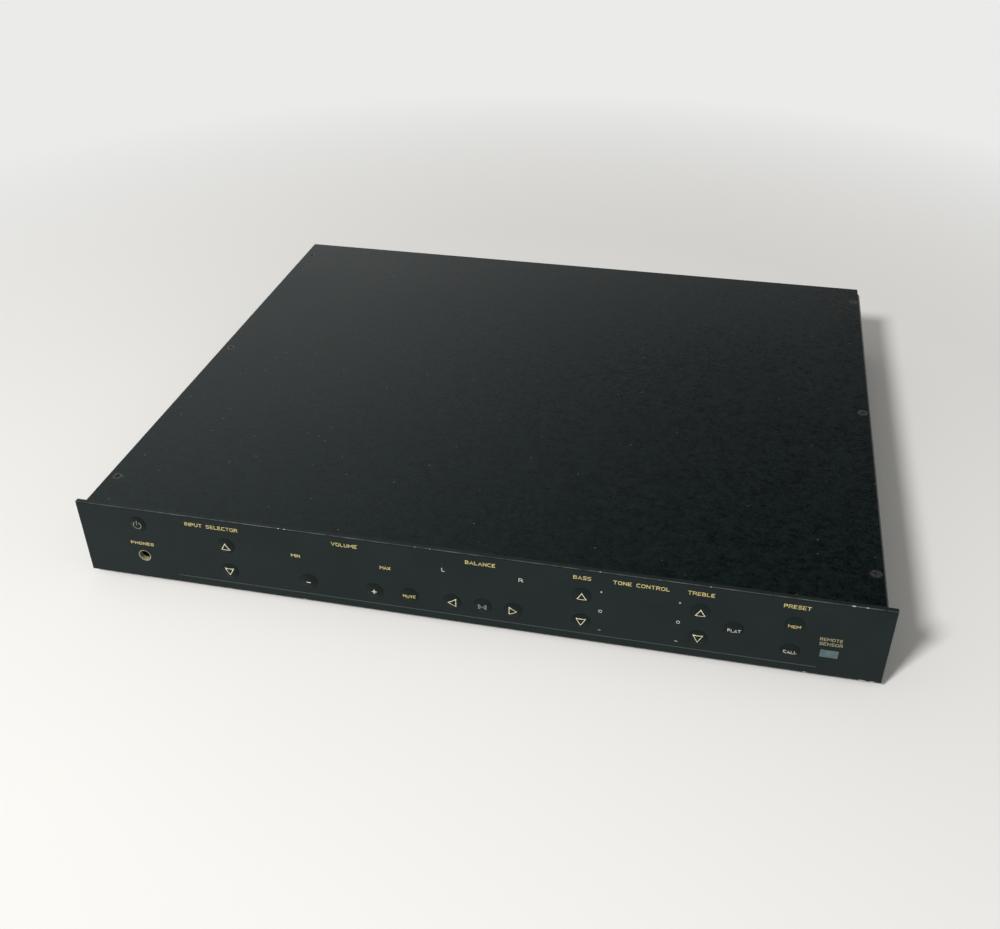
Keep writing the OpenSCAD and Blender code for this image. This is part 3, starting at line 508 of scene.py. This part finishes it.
LETTER_ROWS = 6.0
LETTER_GAP = 2.0
LETTER_CURVE = 2.0
STRAIGHT_STROKES = {
    "A": [[(0, 0), (2.2, 6), (4.4, 0)], [(0.9, 2), (3.5, 2)]],
    "B": [[(0, 0), (0, 6)]],
    "E": [[(0, 0), (0, 6)], [(0, 0), (3.5, 0)], [(0, 3), (2.7, 3)], [(0, 6), (3.5, 6)]],
    "F": [[(0, 0), (0, 6)], [(0, 3), (3.2, 3)], [(0, 6), (3.5, 6)]],
    "H": [[(0, 0), (0, 6)], [(4, 0), (4, 6)], [(0, 3), (4, 3)]],
    "I": [[(0, 0), (0, 6)]],
    "L": [[(0, 0), (0, 6)], [(0, 0), (3.3, 0)]],
    "M": [[(0, 0), (0, 6)], [(0, 6), (2.7, 2.4), (5.4, 6)], [(5.4, 0), (5.4, 6)]],
    "N": [[(0, 0), (0, 6)], [(0, 6), (4, 0)], [(4, 0), (4, 6)]],
    "P": [[(0, 0), (0, 6)]],
    "R": [[(0, 0), (0, 6)], [(2.2, 2.8), (4, 0)]],
    "T": [[(2, 0), (2, 6)], [(0, 6), (4, 6)]],
    "V": [[(0, 6), (2.2, 0), (4.4, 6)]],
    "X": [[(0, 0), (4.2, 6)], [(0, 6), (4.2, 0)]],
    "1": [[(0, 4.4), (1.8, 6), (1.8, 0)]],
    "2": [[(0, 0), (3.8, 0)]],
    "4": [[(2.8, 0), (2.8, 6), (0, 1.8), (4, 1.8)]],
    "5": [[(0, 3.4), (0, 6)], [(0, 6), (3.7, 6)]],
}
CURVED_STROKES = {
    "B": [[(0, 6), (3.6, 6), (3.6, 3.1), (0, 3.1)], [(0, 3.1), (4, 3.1), (4, 0), (0, 0)]],
    "C": [[(3.9, 6), (0, 6), (0, 0), (3.9, 0)]],
    "O": [[(2.1, 0), (4.2, 0), (4.2, 6), (0, 6), (0, 0), (2.1, 0)]],
    "P": [[(0, 6), (3.9, 6), (3.9, 2.6), (0, 2.6)]],
    "R": [[(0, 6), (3.9, 6), (3.9, 2.8), (0, 2.8)]],
    "S": [[(3.8, 6), (0, 6), (0, 3.1), (4, 3.1), (4, 0), (0.1, 0)]],
    "U": [[(0, 6), (0, 0), (4, 0), (4, 6)]],
    "2": [[(0, 6), (3.8, 6), (3.8, 3), (0, 3), (0, 0)]],
    "3": [[(0, 6), (3.8, 6), (3.8, 3.2), (1.2, 3.2)], [(1.2, 3.2), (4, 3.2), (4, 0), (0, 0)]],
    "5": [[(0, 3.4), (4, 3.4), (4, 0), (0, 0)]],
    "6": [[(3.6, 6), (0, 6), (0, 0), (4, 0), (4, 3.4), (0, 3.4)]],
}


def letters(text, left, right, middle, height, stroke):
    """Figures of a word from its left to its right end, around a middle height."""
    glyphs = []
    width = -LETTER_GAP
    for letter in text:
        start = width + LETTER_GAP
        curves = [eased(points, LETTER_CURVE) for points in CURVED_STROKES.get(letter, [])]
        chains = STRAIGHT_STROKES.get(letter, []) + curves
        glyphs.append([[(start + x, z) for x, z in points] for points in chains])
        width = max(x for points in glyphs[-1] for x, z in points)
    across = (right - left - stroke) / width
    up = (height - stroke) / LETTER_ROWS
    low = middle - LETTER_ROWS / 2 * up
    figures = []
    for glyph in glyphs:
        figure = []
        for points in glyph:
            figure += line([(left + stroke / 2 + x * across, low + z * up) for x, z in points], stroke)
        figures.append(figure)
    return figures


# Print as thin pieces

PRINT_T = 0.02 * MM
MERGE_MM = 0.0001


def fill(bm, figure):
    """Adds a figure to a mesh at Y = 0, in metres, as triangles that don't overlap."""
    origin = Vector(figure[0][0])
    points = []
    outlines = []
    for outline in figure:
        outlines.append(range(len(points), len(points) + len(outline)))
        points += [Vector(point) - origin for point in outline]
    spots, _, triangles, _, _, sources = delaunay_2d_cdt(points, [], outlines, 1, MERGE_MM)
    corners = [bm.verts.new(((origin.x + x) * MM, 0.0, (origin.y + z) * MM)) for x, z in spots]
    for ends, inside in zip(triangles, sources):
        if inside:
            bm.faces.new([corners[i] for i in ends])
    loose = [corner for corner in corners if not corner.link_faces]
    bmesh.ops.delete(bm, geom=loose, context="VERTS")


def flat_mesh(figures):
    """A new mesh with all these figures at Y = 0."""
    bm = bmesh.new()
    for figure in figures:
        fill(bm, figure)
    return bm


def lay_flat(bm, level, normal_y):
    """Moves flat print to a level along Y, and turns its faces to look along -Y or +Y."""
    for corner in bm.verts:
        corner.co.y = level
    bm.normal_update()
    for face in bm.faces:
        if face.normal.y * normal_y < 0:
            face.normal_flip()


def finish_print(name, bm, ink, body):
    """Makes print into a piece, as a thin closed skin that rides on a body."""
    mesh = bpy.data.meshes.new(name)
    bm.to_mesh(mesh)
    bm.free()
    piece = bpy.data.objects.new(name, mesh)
    scene.collection.objects.link(piece)
    piece.data.materials.append(ink)
    skin = piece.modifiers.new("skin", "SOLIDIFY")
    skin.thickness = PRINT_T
    skin.offset = 1.0
    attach(piece, body)


# Legends on the film: words by place, as left and right ends and middle height in mm on the panel

HEADING_UP = 41.8
HEADINGS = [
    ("INPUT", -151.5, -141.6, HEADING_UP),
    ("SELECTOR", -139.2, -121.2, HEADING_UP),
    ("VOLUME", -68.8, -54.6, HEADING_UP),
    ("BALANCE", 3.3, 19.1, HEADING_UP),
    ("BASS", 59.2, 68.3, HEADING_UP),
    ("TONE", 79.3, 88.6, HEADING_UP),
    ("CONTROL", 90.9, 107.4, HEADING_UP),
    ("TREBLE", 116.3, 129.4, HEADING_UP),
    ("PRESET", 162.4, 175.4, HEADING_UP),
]
GOLD_WORDS = [
    ("PHONES", -186.5, -172.9, 23.8),
    ("MIN", -92.3, -87.3, 30.3),
    ("MAX", -43.0, -37.1, 30.3),
]
SOFT_WORDS = [("L", -9.4, -7.6, 34.6), ("R", 31.2, 33.6, 34.7)]
DULL_WORDS = [("REMOTE", 182.0, 192.9, 23.9), ("SENSOR", 182.1, 193.3, 20.9)]
TONE_SCALES = [73.7, 113.0]
TONE_PLUS_UP = 34.3
TONE_RING_UP = 21.5
TONE_MINUS_UP = 8.7
HEADING_SIZE = (2.35, 0.4)
SMALL_SIZE = (2.0, 0.34)
SIDE_SIZE = (2.35, 0.36)
BOLD_SIZE = (2.0, 0.4)
FILM_FACE = film_low.y
PANEL_FOOT = panel_low.z / MM
RULE_MIDDLE = (11.0, PANEL_FOOT + 4.9)
RULE_SIZE = (344.0, 0.5)


def words(rows, size, foot=PANEL_FOOT):
    """Figures of words of one height and stroke."""
    height, stroke = size
    figures = []
    for text, left, right, middle in rows:
        figures += letters(text, left, right, foot + middle, height, stroke)
    return figures


def tone_marks(x):
    """Plus, ring and minus of one tone scale."""
    return [
        plus((x, PANEL_FOOT + TONE_PLUS_UP), 1.2, 0.38),
        arc((x, PANEL_FOOT + TONE_RING_UP), 0.8, 0.34),
        bar((x, PANEL_FOOT + TONE_MINUS_UP), 1.4, 0.36),
    ]


def film_print(name, figures, ink):
    """Prints figures on the film."""
    bm = flat_mesh(figures)
    lay_flat(bm, FILM_FACE, -1)
    finish_print(name, bm, ink, "chassis")


film_print("gold_legends", words(HEADINGS, HEADING_SIZE) + words(GOLD_WORDS, BOLD_SIZE), GOLD_INK)
soft_marks = [mark for x in TONE_SCALES for mark in tone_marks(x)]
film_print("soft_legends", words(SOFT_WORDS, SIDE_SIZE) + soft_marks, SOFT_INK)
film_print("dull_legends", words(DULL_WORDS, SMALL_SIZE), DULL_INK)
film_print("foot_rule", [bar(RULE_MIDDLE, *RULE_SIZE)], DIM_INK)


# Signs on the keys' domes, in mm around the middle of a key

SIGN_STROKE = 0.38
FINE_STROKE = 0.32
ARROW_SIZE = (5.4, 4.6)
POWER_STROKE = 0.4
POWER_OPENING = 35.0
CAPTION_SIZE = (1.9, 0.34)
LONGEST_EDGE = 0.5 * MM
REFINE_PASSES = 5


def power_sign():
    """Ring that is open at the top, with a bar in the opening."""
    ring = arc((0.0, -0.3), 2.2, POWER_STROKE, POWER_OPENING, 360.0 - POWER_OPENING)
    return [ring, bar((0.0, 1.35), POWER_STROKE, 2.6)]


def arrow(turn):
    """Outlined arrow head, turned clockwise from up."""
    return [triangle((0.0, 0.0), *ARROW_SIZE, turn, SIGN_STROKE)]


def centre_sign():
    """Two arrow heads that point at each other, with a bar behind each."""
    figures = []
    for side in (-1, 1):
        figures.append(triangle((side * 0.95, 0.0), 3.2, 1.7, side * -90.0, FINE_STROKE))
        figures.append(bar((side * 2.1, 0.0), FINE_STROKE, 3.2))
    return figures


def caption(text, width, lower=0.0):
    """Word in the middle of a key, or lower."""
    return letters(text, -width / 2, width / 2, -lower, *CAPTION_SIZE)


SIGNS = {
    "key_power": (power_sign(), FAINT_INK),
    "key_input_up": (arrow(0), PALE_INK),
    "key_input_down": (arrow(180), PALE_INK),
    "key_volume_down": ([bar((0.0, 0.0), 2.4, 0.5)], PALE_INK),
    "key_volume_up": ([plus((0.0, 0.0), 2.6, 0.55)], PALE_INK),
    "key_mute": (caption("MUTE", 6.9), GOLD_INK),
    "key_balance_left": (arrow(-90), PALE_INK),
    "key_balance_centre": (centre_sign(), FAINT_INK),
    "key_balance_right": (arrow(90), PALE_INK),
    "key_bass_up": (arrow(0), PALE_INK),
    "key_bass_down": (arrow(180), PALE_INK),
    "key_treble_up": (arrow(0), PALE_INK),
    "key_treble_down": (arrow(180), PALE_INK),
    "key_tone_flat": (caption("FLAT", 6.5), SOFT_INK),
    "key_preset_store": (caption("MEM", 6.1, 0.5), GOLD_INK),
    "key_preset_recall": (caption("CALL", 6.5), SOFT_INK),
}


def refine(bm):
    """Cuts long edges, so that flat print can follow a dome."""
    for _ in range(REFINE_PASSES):
        long_edges = [edge for edge in bm.edges if edge.calc_length() > LONGEST_EDGE]
        if not long_edges:
            break
        bmesh.ops.subdivide_edges(bm, edges=long_edges, cuts=1)
        bmesh.ops.triangulate(bm, faces=bm.faces)


def key_dome(name):
    """Middle of a key's face across and up, its crown, and the radius of its dome."""
    low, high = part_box(name)
    crown = low.y
    corners = [vertex.co for vertex in frame["nodes"][name].data.vertices]
    proud = [corner for corner in corners if corner.y < FILM_FACE]
    x = (low.x + high.x) / 2
    z = (low.z + high.z) / 2
    edge = max(math.hypot(corner.x - x, corner.z - z) for corner in proud)
    rise = max(corner.y for corner in proud) - crown
    return x, z, crown, (edge * edge + rise * rise) / (2 * rise)


def key_sign(name, figures, ink):
    """Lays a sign on a key's dome."""
    x, z, crown, radius = key_dome(name)
    bm = flat_mesh(figures)
    refine(bm)
    lay_flat(bm, 0.0, -1)
    for corner in bm.verts:
        across, _, up = corner.co
        back = radius - math.sqrt(radius * radius - across * across - up * up)
        corner.co = (x + across, crown + back, z + up)
    finish_print("sign_" + name.removeprefix("key_"), bm, ink, name)


for name, (figures, ink) in SIGNS.items():
    key_sign(name, figures, ink)


# White legends on the rear panel, drawn as seen from behind

REAR_SIZE = (2.4, 0.4)
REAR_LETTER_W = 1.8
REAR_LETTER_GAP = 5.0
REAR_NUMBER_W = 1.6
PHONO_COLUMNS = 6
PHONO_RING_D = 11.2


def rear_legends():
    """A number between the two sockets of each column, and a letter beside each row."""
    upper_low, upper_high = [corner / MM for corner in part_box("phono_rings_left")]
    lower_low, lower_high = [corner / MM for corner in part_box("phono_rings_right")]
    pitch = (upper_high.x - upper_low.x - PHONO_RING_D) / (PHONO_COLUMNS - 1)
    first = -(upper_low.x + PHONO_RING_D / 2)
    between = (upper_low.z + lower_high.z) / 2
    beside = first + PHONO_RING_D / 2 + REAR_LETTER_GAP
    rows = [("L", (upper_low.z + upper_high.z) / 2), ("R", (lower_low.z + lower_high.z) / 2)]
    half = REAR_LETTER_W / 2
    legends = [(text, beside - half, beside + half, middle) for text, middle in rows]
    for i in range(PHONO_COLUMNS):
        x = first - i * pitch
        legends.append((str(i + 1), x - REAR_NUMBER_W / 2, x + REAR_NUMBER_W / 2, between))
    bm = flat_mesh(words(legends, REAR_SIZE, 0.0))
    for corner in bm.verts:
        corner.co.x = -corner.co.x
    lay_flat(bm, rear_high.y, 1)
    finish_print("rear_legends", bm, WHITE_INK, "chassis")


rear_legends()


# Floor, light and camera

FLOOR_SIZE = 40.0
# Distances from the middle at which the floor starts to fade and has the backdrop's colour
FLOOR_FADE = (0.36, 0.8)
BACKDROP = (0.83, 0.828, 0.818, 1.0)
FILL_LEVEL = 0.5
DIM_WAY = Vector((0.32, 0.73, 0.6)).normalized()
DIM_LEVEL = 0.02
# Cosines of the angle from DIM_WAY, and heights of a direction, at which the dim part starts and is full
DIM_EDGE = (0.77, 0.965)
DIM_HEIGHT = (0.24, 0.4)
LAMP_PLACE = (-0.84, -1.7, 1.62)
LAMP_SIZE = 0.45
LAMP_POWER = 56.0
CAMERA_PLACE = (0.1199, -0.6098, 0.4071)
CAMERA_TURN = (55.668, 0.4785, 12.572)
CAMERA_LENS = 40.176
CAMERA_SENSOR = 36.0


def pale_floor():
    """Pale ground that passes into the backdrop's colour far from the object."""
    paint = Paint("pale_floor", Specular_IOR_Level=0.0)
    cloud = paint.noise(2.0, 3.0)
    paint.feed("Base Color", paint.blend(cloud, (0.805, 0.795, 0.765), (0.84, 0.83, 0.8)))
    paint.feed("Roughness", paint.spread(cloud, 0.6, 0.75))
    away = paint.add("VectorMath", "LENGTH")
    paint.put(away.inputs[0], paint.place)
    far = paint.math("MULTIPLY", paint.span(away.outputs["Value"], *FLOOR_FADE), paint.seen())
    surface = paint.add("MixShader")
    layers = (far, paint.shader.outputs[0], paint.add("Emission", Color=BACKDROP).outputs[0])
    for socket, layer in zip(surface.inputs, layers):
        paint.put(socket, layer)
    paint.put(paint.tree.nodes["Material Output"].inputs["Surface"], surface.outputs[0])
    bm = bmesh.new()
    bmesh.ops.create_grid(bm, x_segments=1, y_segments=1, size=FLOOR_SIZE / 2)
    mesh = bpy.data.meshes.new("floor")
    bm.to_mesh(mesh)
    bm.free()
    floor = bpy.data.objects.new("floor", mesh)
    scene.collection.objects.link(floor)
    mesh.materials.append(paint.material)


def key_lamp():
    """Round soft lamp at the front left, kept out of the picture and of reflections."""
    light = bpy.data.lights.new("key_lamp", "AREA")
    light.shape = "DISK"
    light.size = LAMP_SIZE
    light.energy = LAMP_POWER
    lamp = bpy.data.objects.new("key_lamp", light)
    lamp.location = LAMP_PLACE
    lamp.rotation_euler = (-Vector(LAMP_PLACE)).to_track_quat("-Z", "Y").to_euler()
    lamp.visible_camera = False
    lamp.visible_glossy = False
    scene.collection.objects.link(lamp)


def studio_world():
    """Pale all round, with a dim part high up behind the object, to the right."""
    world = bpy.data.worlds.new("studio")
    world.use_nodes = True
    scene.world = world
    nodes = Nodes(world.node_tree)
    background = world.node_tree.nodes["Background"]
    nodes.put(background.inputs["Color"], BACKDROP)
    way = nodes.add("TexCoord").outputs["Generated"]
    towards = nodes.add("VectorMath", "DOT_PRODUCT")
    nodes.put(towards.inputs[0], way)
    nodes.put(towards.inputs[1], DIM_WAY)
    height = nodes.add("SeparateXYZ", Vector=way).outputs["Z"]
    close = nodes.span(towards.outputs["Value"], *DIM_EDGE)
    dim = nodes.math("MULTIPLY", close, nodes.span(height, *DIM_HEIGHT))
    shade = nodes.span(dim, 0.0, 1.0, 1.0, DIM_LEVEL)
    level = nodes.span(nodes.seen(), 0.0, 1.0, FILL_LEVEL, 1.0)
    nodes.put(background.inputs["Strength"], nodes.math("MULTIPLY", level, shade))


def photo_camera():
    """Camera at the photograph's viewing angle."""
    data = bpy.data.cameras.new("camera")
    data.sensor_fit = "HORIZONTAL"
    data.sensor_width = CAMERA_SENSOR
    data.lens = CAMERA_LENS
    camera = bpy.data.objects.new("camera", data)
    camera.location = CAMERA_PLACE
    camera.rotation_euler = Euler([math.radians(turn) for turn in CAMERA_TURN])
    scene.collection.objects.link(camera)
    scene.camera = camera


pale_floor()
key_lamp()
studio_world()
photo_camera()
